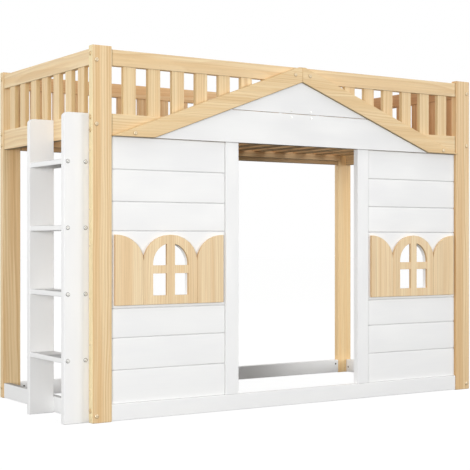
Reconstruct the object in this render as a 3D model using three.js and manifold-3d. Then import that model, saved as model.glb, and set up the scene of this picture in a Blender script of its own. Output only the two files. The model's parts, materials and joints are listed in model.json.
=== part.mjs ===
// A house loft bed: a raised single bed on a pine frame, with guard slats all round, a white playhouse
// front with a doorway, two arched windows and a gable, and a ladder at its left end.
// Lengths are in millimetres. +X runs along the bed to the right, +Y to the rear and +Z up.
// The pieces are laid out from the front left corner of the posts' footprint, and the whole bed is then
// moved so that the middle of its overall footprint is the origin.
import * as THREE from 'three';
import { RoundedBoxGeometry } from 'three/addons/geometries/RoundedBoxGeometry.js';
import { mergeVertices } from 'three/addons/utils/BufferGeometryUtils.js';
import Module from 'manifold-3d';

const wasm = await Module();
wasm.setup();

// Mattress and the room around it
const mattressLength = 2000;
const mattressWidth = 900;
const mattressEndPlay = 4;
const mattressSidePlay = 2;

// Every two pieces that meet keep this gap, and a tongue has it on each side of its groove
const jointGap = 0.2;
const cutOverrun = 5;

// Posts
const postWidth = 88;
const postThickness = 34;
const postEase = 3;

// Rails between the posts
const railThickness = 28;
const railSetback = 5;
const railEase = 2;
const topRailHeight = 66;
const topRailDrop = 12;
const guardHeight = 194;
const deckRailHeight = 90;
const denHeight = 1158;
const footRailHeight = 68;
const footRailLift = 2;

// Guard slats, which stand in grooves of the top rails and deck rails
const guardSlatThickness = 20;
const guardSlatWidth = 59;
const guardSlatEase = 1.5;
const longGuardSlats = 16;
const endGuardSlats = 7;
const railGrooveDepth = 10;

// Deck: ledgers on the long deck rails, and a roll of slats on two straps
const ledgerHeight = 30;
const ledgerDepth = 25;
const ledgerLift = 19;
const deckSlats = 15;
const deckSlatWidth = 70;
const deckSlatThickness = 18;
const deckSlatEase = 2;
const deckEndGap = 29;
const deckSlatPlay = 2;
const strapWidth = 30;
const strapThickness = 1.5;
const strapInset = 150;

// White front wall of tongue and groove planks
const plankThickness = 18;
const plankSetback = 13;
const plankChamfer = 3;
// The joints between the planks, at their ends and between the gable boards stay open by this much
const plankGap = 2;
const windowBoardMargin = 14;
const tongueThickness = 6;
const tongueHeight = 7;
const wallWidth = 552;
// The planks below the window board, from the floor up, and those above it mirrored
const plankShares = [0.35, 0.34, 0.31];
const battenWidth = 25;
const battenDepth = 25;
const battenEndGap = 20;

// Door jambs
const jambWidth = 64.5;
const jambThickness = 30;
const smallEase = 2;

// Windows and shutters, cut from one thin board thickness
const windowThickness = 12;
const windowEase = 1.5;
const windowWidth = 258;
const archRise = 110;
const frameStileWidth = 44;
const frameSillHeight = 37;
const frameCrownHeight = 36;
const mullionWidth = 39;
const transomHeight = 34;
const lowerPaneHeight = 91;
const upperPaneSide = 6;
const shutterMargin = 15;
const archSegments = 12;

// Gable and roof boards on the front of the rails
const gableThickness = 9;
const gableLowerHeight = 140;
const gableEase = 1;
const cleatHeight = 56;
const roofThickness = 20;
const roofBoardWidth = 68;
const roofEase = 2;

// Ladder outside the left end
const stileWidth = 111;
const stileThickness = 28;
const stileCornerRadius = 20;
const ladderWidth = 368;
const ladderPostGap = 4;
const ladderTreads = 4;
const treadThickness = 21;
const firstTreadHeight = 253;
const topTreadDrop = 197;
const treadSetback = 2;

// Places that follow from the sizes above
const railBack = railSetback + railThickness;
const bedLength = mattressLength + mattressEndPlay + 2 * railBack;
const bedDepth = mattressWidth + mattressSidePlay + 2 * railBack;
const longRailLength = bedLength - 2 * (postWidth + jointGap);
const endRailLength = bedDepth - 2 * (postThickness + jointGap);
const longRailStart = postWidth + jointGap;
const endRailStart = postThickness + jointGap;
const deckRailTop = denHeight + deckRailHeight;
const topRailBottom = deckRailTop + guardHeight;
const topRailTop = topRailBottom + topRailHeight;
const postHeight = topRailTop + topRailDrop;
const footRailTop = footRailLift + footRailHeight;

const pine = new THREE.MeshStandardMaterial({ color: 0xdcb482, roughness: 0.55, metalness: 0 });
const whitePaint = new THREE.MeshStandardMaterial({ color: 0xf3f2ee, roughness: 0.45, metalness: 0 });

const bed = new THREE.Group();

// Adds one named piece whose lowest corner is at x, y, z.
function addPiece(name, geometry, material, x, y, z) {
  const piece = new THREE.Mesh(geometry, material);
  piece.name = name;
  piece.position.set(x, y, z);
  bed.add(piece);
}

// A board with all its edges eased, from its lowest corner.
function easedBoard(length, depth, height, ease) {
  const board = new RoundedBoxGeometry(length, depth, height, 1, ease);
  return board.translate(length / 2, depth / 2, height / 2);
}

function boxFromCorner(length, depth, height) {
  return new THREE.BoxGeometry(length, depth, height).translate(length / 2, depth / 2, height / 2);
}

// Sweeps a section drawn in Y and Z along +X.
function sweepAlongX(section, length) {
  const sweep = new THREE.ExtrudeGeometry(section, { depth: length, bevelEnabled: false });
  const turn = new THREE.Matrix4().makeBasis(
    new THREE.Vector3(0, 1, 0),
    new THREE.Vector3(0, 0, 1),
    new THREE.Vector3(1, 0, 0),
  );
  return sweep.applyMatrix4(turn);
}

// Sweeps a section drawn in X and Z along +Y.
function sweepAlongY(section, length) {
  const options = { depth: length, bevelEnabled: false, curveSegments: archSegments / 2 };
  return new THREE.ExtrudeGeometry(section, options).rotateX(Math.PI / 2).translate(0, length, 0);
}

// A cutter that passes through a board's thickness along +Y and runs past both of its faces.
function throughCutter(outline, thickness) {
  return sweepAlongY(outline, thickness + 2 * cutOverrun).translate(0, -cutOverrun, 0);
}

// Cuts a board with eased faces from an outline. The thickness runs along the sweep.
function cutBoard(outline, thickness, ease) {
  return new THREE.ExtrudeGeometry(outline, {
    depth: thickness - 2 * ease,
    bevelThickness: ease,
    bevelSize: ease,
    bevelOffset: -ease,
    bevelSegments: 1,
    curveSegments: archSegments / 2,
  }).translate(0, 0, ease);
}

// Stands a board cut from an X and Z outline upright, with its thickness along +Y.
function facingFront(board, thickness) {
  return board.rotateX(Math.PI / 2).translate(0, thickness, 0);
}

function polygon(points) {
  return new THREE.Shape(points.map(([u, v]) => new THREE.Vector2(u, v)));
}

function rectanglePath(u0, v0, u1, v1) {
  return polygon([[u0, v0], [u1, v0], [u1, v1], [u0, v1]]);
}

// The corner points of a rectangle whose corners are cut back by the ease.
function easedRectangle(width, height, ease) {
  return [
    [ease, 0],
    [width - ease, 0],
    [width, ease],
    [width, height - ease],
    [width - ease, height],
    [ease, height],
    [0, height - ease],
    [0, ease],
  ];
}

// Turns a closed geometry into a solid for cuts and joins, and back.
function toSolid(geometry) {
  const bare = geometry.clone();
  bare.deleteAttribute('normal');
  bare.deleteAttribute('uv');
  const merged = mergeVertices(bare);
  return new wasm.Manifold(new wasm.Mesh({
    numProp: 3,
    vertProperties: new Float32Array(merged.attributes.position.array),
    triVerts: new Uint32Array(merged.index.array),
  }));
}

function fromSolid(solid) {
  const mesh = solid.getMesh();
  const geometry = new THREE.BufferGeometry();
  geometry.setAttribute('position', new THREE.BufferAttribute(mesh.vertProperties, 3));
  geometry.setIndex(new THREE.BufferAttribute(mesh.triVerts, 1));
  geometry.computeVertexNormals();
  return geometry;
}

// A rail section with eased corners and a groove in its top edge.
function groovedSection(height) {
  const grooveHalf = guardSlatThickness / 2 + jointGap;
  const middle = railThickness / 2;
  const grooveBottom = height - railGrooveDepth - jointGap;
  return [
    [railEase, 0],
    [railThickness - railEase, 0],
    [railThickness, railEase],
    [railThickness, height - railEase],
    [railThickness - railEase, height],
    [middle + grooveHalf, height],
    [middle + grooveHalf, grooveBottom],
    [middle - grooveHalf, grooveBottom],
    [middle - grooveHalf, height],
    [railEase, height],
    [0, height - railEase],
    [0, railEase],
  ];
}

function addPosts() {
  const sides = [['left', 0], ['right', bedLength - postWidth]];
  const rows = [['front', 0], ['rear', bedDepth - postThickness]];
  for (const [row, y] of rows) {
    for (const [side, x] of sides) {
      const post = easedBoard(postWidth, postThickness, postHeight, postEase);
      addPiece(`post_${row}_${side}`, post, pine, x, y, 0);
    }
  }
}

// Top rails, deck rails and foot rails on all four sides.
function addRails() {
  const deckSection = groovedSection(deckRailHeight);
  const topSection = groovedSection(topRailHeight).map(([u, v]) => [u, topRailHeight - v]);
  const farFront = bedDepth - railBack;
  const farSide = bedLength - railBack;
  for (const [side, y] of [['front', railSetback], ['rear', farFront]]) {
    const deckRail = sweepAlongX(polygon(deckSection), longRailLength);
    const topRail = sweepAlongX(polygon(topSection), longRailLength);
    const footRail = easedBoard(longRailLength, railThickness, footRailHeight, railEase);
    addPiece(`deck_rail_${side}`, deckRail, pine, longRailStart, y, denHeight);
    addPiece(`top_rail_${side}`, topRail, pine, longRailStart, y, topRailBottom);
    addPiece(`foot_rail_${side}`, footRail, whitePaint, longRailStart, y, footRailLift);
  }
  for (const [side, x] of [['left', railSetback], ['right', farSide]]) {
    const deckRail = sweepAlongY(polygon(deckSection), endRailLength);
    const topRail = sweepAlongY(polygon(topSection), endRailLength);
    const footRail = easedBoard(railThickness, endRailLength, footRailHeight, railEase);
    addPiece(`deck_rail_${side}`, deckRail, pine, x, endRailStart, denHeight);
    addPiece(`top_rail_${side}`, topRail, pine, x, endRailStart, topRailBottom);
    addPiece(`foot_rail_${side}`, footRail, whitePaint, x, endRailStart, footRailLift);
  }
}

// The start of one guard slat, counted from 0, in a row of evenly spaced slats.
function guardSlatStart(index, count, length) {
  const gap = (length - count * guardSlatWidth) / (count + 1);
  return gap + index * (guardSlatWidth + gap);
}

// A row of guard slats along +X, joined by the two filler strips that fill the grooves of the rails.
function guardRow(length, count) {
  const height = guardHeight + 2 * railGrooveDepth;
  const section = polygon(easedRectangle(guardSlatWidth, guardSlatThickness, guardSlatEase));
  const slat = new THREE.ExtrudeGeometry(section, { depth: height, bevelEnabled: false });
  const strip = boxFromCorner(length, guardSlatThickness, railGrooveDepth);
  let row = toSolid(strip).add(toSolid(strip.clone().translate(0, 0, height - railGrooveDepth)));
  for (let index = 0; index < count; index += 1) {
    const start = guardSlatStart(index, count, length);
    row = row.add(toSolid(slat.clone().translate(start, 0, 0)));
  }
  return fromSolid(row);
}

function addGuardSlats() {
  const z = deckRailTop - railGrooveDepth;
  const slatSetback = railSetback + (railThickness - guardSlatThickness) / 2;
  const farY = bedDepth - slatSetback - guardSlatThickness;
  for (const [side, y] of [['front', slatSetback], ['rear', farY]]) {
    const row = guardRow(longRailLength, longGuardSlats);
    addPiece(`guard_slats_${side}`, row, pine, longRailStart, y, z);
  }
  const farX = bedLength - slatSetback - guardSlatThickness;
  for (const [side, x] of [['left', slatSetback], ['right', farX]]) {
    const row = guardRow(endRailLength, endGuardSlats);
    row.rotateZ(Math.PI / 2).translate(guardSlatThickness, 0, 0);
    addPiece(`guard_slats_${side}`, row, pine, x, endRailStart, z);
  }
}

// Ledgers on the inner faces of the long deck rails, and the slat roll that lies on them.
function addDeck() {
  const ledgerZ = denHeight + ledgerLift;
  const frontLedgerY = railBack + jointGap;
  const rearLedgerY = bedDepth - frontLedgerY - ledgerDepth;
  for (const [side, y] of [['front', frontLedgerY], ['rear', rearLedgerY]]) {
    const ledger = easedBoard(longRailLength, ledgerDepth, ledgerHeight, railEase);
    addPiece(`deck_ledger_${side}`, ledger, pine, longRailStart, y, ledgerZ);
  }

  const slatY = postThickness + deckSlatPlay;
  const slatLength = bedDepth - 2 * slatY;
  const rollLength = bedLength - 2 * (railBack + deckEndGap);
  const pitch = (rollLength - deckSlatWidth) / (deckSlats - 1);
  const section = polygon(easedRectangle(deckSlatWidth, deckSlatThickness, deckSlatEase));
  const slat = sweepAlongY(section, slatLength);
  let roll = toSolid(slat);
  for (let index = 1; index < deckSlats; index += 1) {
    roll = roll.add(toSolid(slat.clone().translate(index * pitch, 0, 0)));
  }
  // Each strap is let into the slats by its own thickness, so that it stands half proud
  const strap = new THREE.BoxGeometry(rollLength, strapWidth, 2 * strapThickness);
  for (const strapY of [strapInset, slatLength - strapInset]) {
    roll = roll.add(toSolid(strap.clone().translate(rollLength / 2, strapY, deckSlatThickness)));
  }
  const rollZ = ledgerZ + ledgerHeight + jointGap;
  addPiece('slat_roll', fromSolid(roll), pine, railBack + deckEndGap, slatY, rollZ);
}

// The section of one wall plank in Y and Z, with its tongue on top and its groove below.
function plankSection(height, hasTongue, hasGroove) {
  const middle = plankThickness / 2;
  const tongueHalf = tongueThickness / 2;
  const grooveHalf = tongueHalf + jointGap;
  const grooveDepth = tongueHeight + jointGap;
  const points = [[plankChamfer, 0]];
  if (hasGroove) {
    points.push(
      [middle - grooveHalf, 0],
      [middle - grooveHalf, grooveDepth],
      [middle + grooveHalf, grooveDepth],
      [middle + grooveHalf, 0],
    );
  }
  points.push(
    [plankThickness - plankChamfer, 0],
    [plankThickness, plankChamfer],
    [plankThickness, height - plankChamfer],
    [plankThickness - plankChamfer, height],
  );
  if (hasTongue) {
    points.push(
      [middle + tongueHalf, height],
      [middle + tongueHalf, height + tongueHeight],
      [middle - tongueHalf, height + tongueHeight],
      [middle - tongueHalf, height],
    );
  }
  points.push([plankChamfer, height], [0, height - plankChamfer], [0, plankChamfer]);
  return polygon(points);
}

// The window's panes, from its bottom edge up. The upper panes' straight sides end where the arch springs.
const openingHalf = windowWidth / 2 - frameStileWidth;
const lowerPaneTop = frameSillHeight + lowerPaneHeight;
const upperPaneBottom = lowerPaneTop + transomHeight;
const openingSpring = upperPaneBottom + upperPaneSide;
const windowHeight = openingSpring + openingHalf + frameCrownHeight;
const shutterWidth = (wallWidth - windowWidth) / 2 - jointGap - shutterMargin;

// The window's arched outline, drawn round the middle of its bottom edge.
function archOutline() {
  const half = windowWidth / 2;
  const spring = windowHeight - archRise;
  const outline = new THREE.Shape();
  outline.moveTo(-half, 0);
  outline.lineTo(half, 0);
  outline.lineTo(half, spring);
  outline.absellipse(0, spring, half, archRise, 0, Math.PI, false, 0);
  outline.closePath();
  return outline;
}

// The window's whole opening, which is also cut in the plank behind it.
function openingOutline() {
  const opening = new THREE.Shape();
  opening.moveTo(-openingHalf, frameSillHeight);
  opening.lineTo(openingHalf, frameSillHeight);
  opening.lineTo(openingHalf, openingSpring);
  opening.absarc(0, openingSpring, openingHalf, 0, Math.PI, false);
  opening.closePath();
  return opening;
}

// One upper pane, whose top follows the arch from the mullion to the stile.
function upperPane(side) {
  const pane = new THREE.Shape();
  const inner = mullionWidth / 2;
  const mullionAngle = Math.acos(inner / openingHalf);
  const innerTop = openingSpring + openingHalf * Math.sin(mullionAngle);
  pane.moveTo(side * inner, innerTop);
  pane.lineTo(side * inner, upperPaneBottom);
  pane.lineTo(side * openingHalf, upperPaneBottom);
  pane.lineTo(side * openingHalf, openingSpring);
  const start = side > 0 ? 0 : Math.PI;
  const end = side > 0 ? mullionAngle : Math.PI - mullionAngle;
  pane.absarc(0, openingSpring, openingHalf, start, end, side < 0);
  return pane;
}

function windowFrame() {
  let frame = toSolid(facingFront(cutBoard(archOutline(), windowThickness, windowEase), windowThickness));
  for (const side of [-1, 1]) {
    const inner = side * mullionWidth / 2;
    const lowerPane = rectanglePath(inner, frameSillHeight, side * openingHalf, lowerPaneTop);
    for (const pane of [lowerPane, upperPane(side)]) {
      frame = frame.subtract(toSolid(throughCutter(pane, windowThickness)));
    }
  }
  return fromSolid(frame);
}

// A half arch whose top is at its outer edge. Side is -1 for the shutter left of the window.
function shutter(side) {
  const inner = side * (windowWidth / 2 + jointGap);
  const outer = inner + side * shutterWidth;
  const spring = windowHeight - archRise;
  const outline = new THREE.Shape();
  outline.moveTo(inner, 0);
  outline.lineTo(inner, spring);
  const start = side > 0 ? Math.PI : 0;
  outline.absellipse(outer, spring, shutterWidth, archRise, start, Math.PI / 2, side > 0, 0);
  outline.lineTo(outer, 0);
  outline.closePath();
  return facingFront(cutBoard(outline, windowThickness, windowEase), windowThickness);
}

// One planked wall with its window, shutters and battens. Side is left or right.
function addWall(side, wallStart) {
  const wallHeight = denHeight - footRailTop;
  const windowBoardHeight = windowHeight + 2 * windowBoardMargin;
  const planksHeight = (wallHeight - windowBoardHeight) / 2;
  const plankHeights = plankShares.map((share) => share * planksHeight);
  const rows = [...plankHeights, windowBoardHeight, ...plankHeights.toReversed()];
  const windowRow = plankHeights.length;
  const plankLength = wallWidth - 2 * plankGap;
  const plankX = wallStart + plankGap;
  const windowX = wallStart + wallWidth / 2;
  let rowBottom = footRailTop;
  let plankNumber = 0;
  rows.forEach((rowHeight, row) => {
    const gapBelow = row > 0 ? plankGap : jointGap;
    const section = plankSection(rowHeight - gapBelow, row < rows.length - 1, row > 0);
    const plank = sweepAlongX(section, plankLength);
    const plankZ = rowBottom + gapBelow;
    if (row === windowRow) {
      const windowZ = rowBottom + (rowHeight - windowHeight) / 2;
      const cutter = throughCutter(openingOutline(), plankThickness);
      cutter.translate(windowX - plankX, 0, windowZ - plankZ);
      const board = fromSolid(toSolid(plank).subtract(toSolid(cutter)));
      addPiece(`window_board_${side}`, board, whitePaint, plankX, plankSetback, plankZ);
      addWindow(side, windowX, windowZ);
    } else {
      plankNumber += 1;
      addPiece(`wall_plank_${side}_${plankNumber}`, plank, whitePaint, plankX, plankSetback, plankZ);
    }
    rowBottom += rowHeight;
  });
  const battenY = plankSetback + plankThickness + jointGap;
  const battenHeight = wallHeight - 2 * battenEndGap;
  const battenEnds = [
    ['a', wallStart + jointGap],
    ['b', wallStart + wallWidth - jointGap - battenWidth],
  ];
  for (const [end, x] of battenEnds) {
    const batten = easedBoard(battenWidth, battenDepth, battenHeight, railEase);
    addPiece(`wall_batten_${side}_${end}`, batten, whitePaint, x, battenY, footRailTop + battenEndGap);
  }
}

function addWindow(side, x, z) {
  const y = plankSetback - jointGap - windowThickness;
  addPiece(`window_frame_${side}`, windowFrame(), pine, x, y, z);
  addPiece(`shutter_${side}_a`, shutter(-1), pine, x, y, z);
  addPiece(`shutter_${side}_b`, shutter(1), pine, x, y, z);
}

function addFrontWalls() {
  const leftStart = postWidth;
  const rightStart = bedLength - postWidth - wallWidth;
  addWall('left', leftStart);
  addWall('right', rightStart);
  const jambHeight = denHeight - footRailTop - 2 * jointGap;
  const jambZ = footRailTop + jointGap;
  const jambs = [['left', leftStart + wallWidth], ['right', rightStart - jambWidth]];
  for (const [side, x] of jambs) {
    const jamb = easedBoard(jambWidth, jambThickness, jambHeight, smallEase);
    addPiece(`door_jamb_${side}`, jamb, whitePaint, x, railSetback, jambZ);
  }
}

// The roof boards fill the front between the posts: their upper edges start at the posts' inner sides
// at the foot of the deck rail, and their lower edges meet at the underside of the top rail.
const roofHalfSpan = bedLength / 2 - postWidth;
const roofRise = topRailBottom - denHeight;
const roofAngle = Math.atan2(roofRise, roofHalfSpan)
  + Math.asin(roofBoardWidth / Math.hypot(roofHalfSpan, roofRise));
const roofSlope = Math.tan(roofAngle);
const gableHalfWidth = roofRise / roofSlope;

// One roof board, drawn from the middle of the bed at the foot of the deck rail.
function roofBoard(side) {
  const start = side * jointGap;
  const tip = side * (roofHalfSpan - jointGap);
  const apexTop = topRailTop - denHeight;
  const cutEnd = side * (roofHalfSpan - apexTop / roofSlope);
  const outline = polygon([
    [start, roofRise],
    [start, apexTop],
    [cutEnd, apexTop],
    [tip, 0],
    [side * gableHalfWidth, 0],
  ]);
  return facingFront(cutBoard(outline, roofThickness, roofEase), roofThickness);
}

// Half the gable's width at a height above the foot of the deck rail.
function gableHalfAt(height) {
  return (roofRise - height) / roofSlope - jointGap / Math.sin(roofAngle);
}

function gableBoard(bottom, top) {
  const outline = [[-gableHalfAt(bottom), 0], [gableHalfAt(bottom), 0]];
  if (gableHalfAt(top) > gableEase) {
    outline.push([gableHalfAt(top), top - bottom], [-gableHalfAt(top), top - bottom]);
  } else {
    outline.push([0, roofRise - jointGap / Math.cos(roofAngle) - bottom]);
  }
  return facingFront(cutBoard(polygon(outline), gableThickness, gableEase), gableThickness);
}

function addGable() {
  const middleX = bedLength / 2;
  const boardBack = railSetback - jointGap;
  const gableY = boardBack - gableThickness;
  const lower = gableBoard(0, gableLowerHeight);
  const upper = gableBoard(gableLowerHeight + plankGap, roofRise);
  const upperZ = denHeight + gableLowerHeight + plankGap;
  addPiece('gable_board_lower', lower, whitePaint, middleX, gableY, denHeight);
  addPiece('gable_board_upper', upper, whitePaint, middleX, gableY, upperZ);
  for (const [side, sign] of [['left', -1], ['right', 1]]) {
    addPiece(`roof_board_${side}`, roofBoard(sign), pine, middleX, boardBack - roofThickness, denHeight);
  }

  // The cleat packs out the space between the gable boards and the two middle guard slats
  const firstSlat = longGuardSlats / 2 - 1;
  const cleatX = longRailStart + guardSlatStart(firstSlat, longGuardSlats, longRailLength);
  const cleatLength = 2 * (middleX - cleatX);
  const cleatDepth = (railThickness - guardSlatThickness) / 2 - jointGap;
  const cleatZ = denHeight + gableLowerHeight - cleatHeight / 2;
  const cleat = easedBoard(cleatLength, cleatDepth, cleatHeight, gableEase);
  addPiece('gable_cleat', cleat, pine, cleatX, railSetback, cleatZ);
}

// A ladder stile, drawn in X and Z, with its top outer corner rounded.
function ladderStile() {
  const outline = new THREE.Shape();
  outline.moveTo(0, 0);
  outline.lineTo(stileWidth, 0);
  outline.lineTo(stileWidth, deckRailTop);
  outline.lineTo(stileCornerRadius, deckRailTop);
  outline.absarc(
    stileCornerRadius, deckRailTop - stileCornerRadius, stileCornerRadius, Math.PI / 2, Math.PI, false,
  );
  outline.closePath();
  return facingFront(cutBoard(outline, stileThickness, smallEase), stileThickness);
}

const ladderX = railSetback - jointGap - stileWidth;

function addLadder() {
  const frontStileY = postThickness + ladderPostGap;
  const rearStileY = frontStileY + ladderWidth - stileThickness;
  addPiece('ladder_stile_front', ladderStile(), whitePaint, ladderX, frontStileY, 0);
  addPiece('ladder_stile_rear', ladderStile(), whitePaint, ladderX, rearStileY, 0);
  const treadY = frontStileY + stileThickness + jointGap;
  const treadLength = rearStileY - jointGap - treadY;
  const treadDepth = stileWidth - 2 * treadSetback;
  const treadPitch = (deckRailTop - topTreadDrop - firstTreadHeight) / (ladderTreads - 1);
  for (let index = 0; index < ladderTreads; index += 1) {
    const tread = easedBoard(treadDepth, treadLength, treadThickness, smallEase);
    const treadZ = firstTreadHeight + index * treadPitch - treadThickness / 2;
    addPiece(`ladder_tread_${index + 1}`, tread, whitePaint, ladderX + treadSetback, treadY, treadZ);
  }
}

addPosts();
addRails();
addGuardSlats();
addDeck();
addFrontWalls();
addGable();
addLadder();

// Moves the middle of the overall footprint to the origin: the ladder stands out at the left end and
// the roof boards at the front.
const footprintFront = railSetback - jointGap - roofThickness;
bed.position.set(-(ladderX + bedLength) / 2, -(footprintFront + bedDepth) / 2, 0);

export default bed;
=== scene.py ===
import json
import math
import random
from collections import namedtuple

import bmesh
import bpy
from mathutils import Euler, Matrix, Vector


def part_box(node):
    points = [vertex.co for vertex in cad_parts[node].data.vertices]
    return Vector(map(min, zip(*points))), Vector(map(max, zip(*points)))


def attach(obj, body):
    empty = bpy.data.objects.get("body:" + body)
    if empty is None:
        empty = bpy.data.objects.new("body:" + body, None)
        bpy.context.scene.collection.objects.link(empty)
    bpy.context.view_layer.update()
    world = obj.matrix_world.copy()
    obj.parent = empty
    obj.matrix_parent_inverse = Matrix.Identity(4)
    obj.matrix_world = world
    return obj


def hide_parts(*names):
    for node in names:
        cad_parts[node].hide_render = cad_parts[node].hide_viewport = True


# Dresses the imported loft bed: lacquered pine, white paint, zinc fasteners and webbing straps, on a
# pale studio floor. Lengths are in metres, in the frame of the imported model: +X runs along the bed to
# the right, +Y to the rear and +Z up, and the middle of the footprint is the origin.

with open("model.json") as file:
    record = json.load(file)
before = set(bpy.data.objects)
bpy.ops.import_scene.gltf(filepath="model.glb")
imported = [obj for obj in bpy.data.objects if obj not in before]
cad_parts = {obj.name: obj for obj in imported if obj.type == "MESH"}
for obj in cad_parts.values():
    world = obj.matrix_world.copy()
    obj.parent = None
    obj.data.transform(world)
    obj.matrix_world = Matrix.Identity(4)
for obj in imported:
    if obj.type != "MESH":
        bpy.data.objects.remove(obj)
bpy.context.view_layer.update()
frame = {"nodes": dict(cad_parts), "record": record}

SEED = 7
MILLIMETRES = 1000
UP = Vector((0, 0, 1))

# Camera, fitted to the photograph's straight edges
CAMERA_PLACE = (-3.0969, -4.7524, 0.7308)
CAMERA_HEADING = math.radians(-33.19)
CAMERA_SENSOR = 0.036
CAMERA_LENS = 0.09065
# The photograph's horizon lies this share of its width below its middle
CAMERA_SHIFT_SHARE = 0.01345

# Studio. Each lamp is a square panel that faces the bed: its direction seen from the bed's middle, in
# degrees from the front towards the ladder end and up from level, its distance, its width and its power.
WORLD_LEVEL = 0.57
BACKDROP_LEVEL = 1.0
FLOOR_HALF = 40
FLOOR_GLOW = 0.94
LAMP_AIM = Vector((0, 0, 0.8))
Lamp = namedtuple("Lamp", "turn rise distance width power")
LAMPS = {
    "front_left_lamp": Lamp(turn=45, rise=2, distance=9.0, width=2.2, power=392),
    "front_right_lamp": Lamp(turn=-35, rise=4, distance=10.0, width=3.0, power=232),
    "top_lamp": Lamp(turn=-50, rise=63, distance=6.0, width=1.4, power=60),
    "left_lamp": Lamp(turn=105, rise=6, distance=7.0, width=2.6, power=88),
    "rear_lamp": Lamp(turn=180, rise=10, distance=7.0, width=3.0, power=110),
}

# Guard slats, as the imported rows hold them
GUARD_SLAT_COUNTS = {"front": 16, "rear": 16, "left": 7, "right": 7}
GUARD_SLAT_WIDTH = 0.059
GUARD_SLAT_EASE = 0.0025
GROOVE_DEPTH = 0.010
FILLER_EASE = 0.0006
FILLER_GAP = 0.0002

# Slat roll. Its straps sag between the slats, and are rounded at both edges.
DECK_SLATS = 15
DECK_SLAT_WIDTH = 0.070
DECK_SLAT_THICKNESS = 0.018
DECK_SLAT_EASE = 0.0025
STRAP_WIDTH = 0.030
STRAP_INSET = 0.150
STRAP_THICKNESS = 0.0013
STRAP_ROUND_SHARE = 0.35
STRAP_SAG = 0.0035
SAG_STEPS = 8
STAPLE_LENGTH = 0.012
STAPLE_WIRE = 0.0012
STAPLE_EASE = STAPLE_WIRE / 4
STAPLE_SPREAD = 0.016

# Heads of the fasteners. A bolt's dome stands on a wider collar, and each head has a six-sided socket.
BOLT_DIAMETER = 0.0155
BOLT_RISE = 0.0042
BOLT_SOCKET = 0.0050
LADDER_BOLT_DIAMETER = 0.0132
COLLAR_WIDTH = 0.0022
COLLAR_RISE = 0.0010
SCREW_DIAMETER = 0.0105
SCREW_RISE = 0.0014
SCREW_SOCKET = 0.0035
NUT_DIAMETER = 0.0100
NUT_RISE = 0.0004
NUT_SOCKET = NUT_DIAMETER / 3
HEAD_SINK = 0.0002
SOCKET_SIDES = 6
RING_POINTS = 36
DOME_POINTS = 5
# The collar's upright wall and its slope, as shares of its rise, and how many bands of faces it has
COLLAR_WALL_SHARE = 0.6
COLLAR_SLOPE_SHARE = 0.4
COLLAR_BANDS = 3
# Where the dome starts and the socket ends, as shares of the rise, and the crown as a share of the socket
SHOULDER_SHARE = 0.25
SOCKET_FLOOR_SHARE = 0.25
CROWN_SHARE = 0.75

# Places of the fasteners. The bolts of the long rails and of the end rails cross inside the posts, so
# they lie at different heights up from the rails' lower edges. The wall's screws lie at shares of the
# wall's height, and the roof's bolts near the lower tip of each board and near the joint at its top.
LONG_BOLT_RISES = {"top_rail": (0.045,), "deck_rail": (0.020, 0.072), "foot_rail": (0.047,)}
END_BOLT_RISES = {"top_rail": (0.019,), "deck_rail": (0.045,), "foot_rail": (0.027,)}
NUT_FROM_POST = 0.018
WALL_SCREW_SHARES = (0.055, 0.225, 0.395, 0.590, 0.725, 0.940)
ROOF_TIP_INSET = 0.099
ROOF_TIP_RISE = 0.015
ROOF_JOINT_INSET = 0.040
ROOF_JOINT_RISE = 0.031
GABLE_SCREW_SPREAD = 0.055
GABLE_SCREW_FROM_JOINT = 0.015
LADDER_BOLT_SPREAD = 0.039

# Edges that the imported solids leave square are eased
SQUARE_EDGE_EASE = 0.0007
PANEL_EDGE_EASE = 0.0016
SQUARE_EDGE_ANGLE = math.radians(55)
FLAT_ANGLE = math.radians(0.4)
EDGE_ANGLE = math.radians(20)
WELD_DISTANCE = 0.00001
EASE_SEGMENTS = 2
ROUND_PROFILE_SHARE = 0.5
# The lengths of edges are compared to a tenth of a millimetre
LENGTH_DIGITS = 4

# Window parts are cut from panels that are glued up of narrow strips. Each strip comes from a place of
# its own in the wood, up to a jump away, with a tone of its own.
PANEL_PARTS = ("shutter", "window_frame")
PANEL_STRIP = 0.034
STRIP_JUMP = (1.0, 0.08, 0.08)
STRIP_TONE_SHARE = 0.05

# Boards that are sawn flat from the log, so that their rings run in long arches. Their faces that look
# down get painted shade.
FLAT_SAWN = ("top_rail", "deck_rail", "roof_board", "deck_ledger", "gable_cleat")

# Slanted boards that are cut from wide level panels, so that their grain runs level, as the photograph
# shows it
LEVEL_GRAIN = "roof_board"

# Rails whose ends meet the posts. Painted shade darkens them beside the posts.
POST_RAILS = ("top_rail", "deck_rail")
END_SHADE_SHARE = 0.26
END_START = 0.0045
END_REACH = 0.0085

# White-painted boards that meet in open joints, and how much painted shade darkens the faces inside the
# joints
JOINT_SHADE_SHARES = {"wall_plank": 0.30, "window_board": 0.30, "gable_board": 0.16}
JOINT_START = 0.0008
JOINT_END = 0.0040
JOINT_REACH = 0.0100

# Painted boards whose upper faces lie in the shade, how much darker their front and rear halves are, and
# how far the step between the halves reaches to each side of the middle
TOP_SHADE_SHARES = {"ladder_tread": (0.61, 0.24), "foot_rail_left": (0.60, 0.66)}
TOP_STEP_REACH = 0.030

# Edges, which wear rougher; the pine's edges get a painted highlight and the paint's turn a little darker:
# how far they reach, and how far the surface has turned where they start and where they end
EDGE_REACH = 0.0016
EDGE_SAMPLES = 4
EDGE_TURN_SHARES = (0.998, 0.90)

# Where a board lay in its log: how far its pith is from its middle, how far the pith swings round it, how
# far along the log it starts, how far its grain leans, and how much its tone differs
LOG_HALF = 3
PITH_DISTANCES = (0.16, 0.30)
FLAT_PITH_DISTANCES = (0.06, 0.11)
PITH_SWING = 0.75
GRAIN_LEAN = 0.010
TONE_SHARE = 0.015

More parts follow.
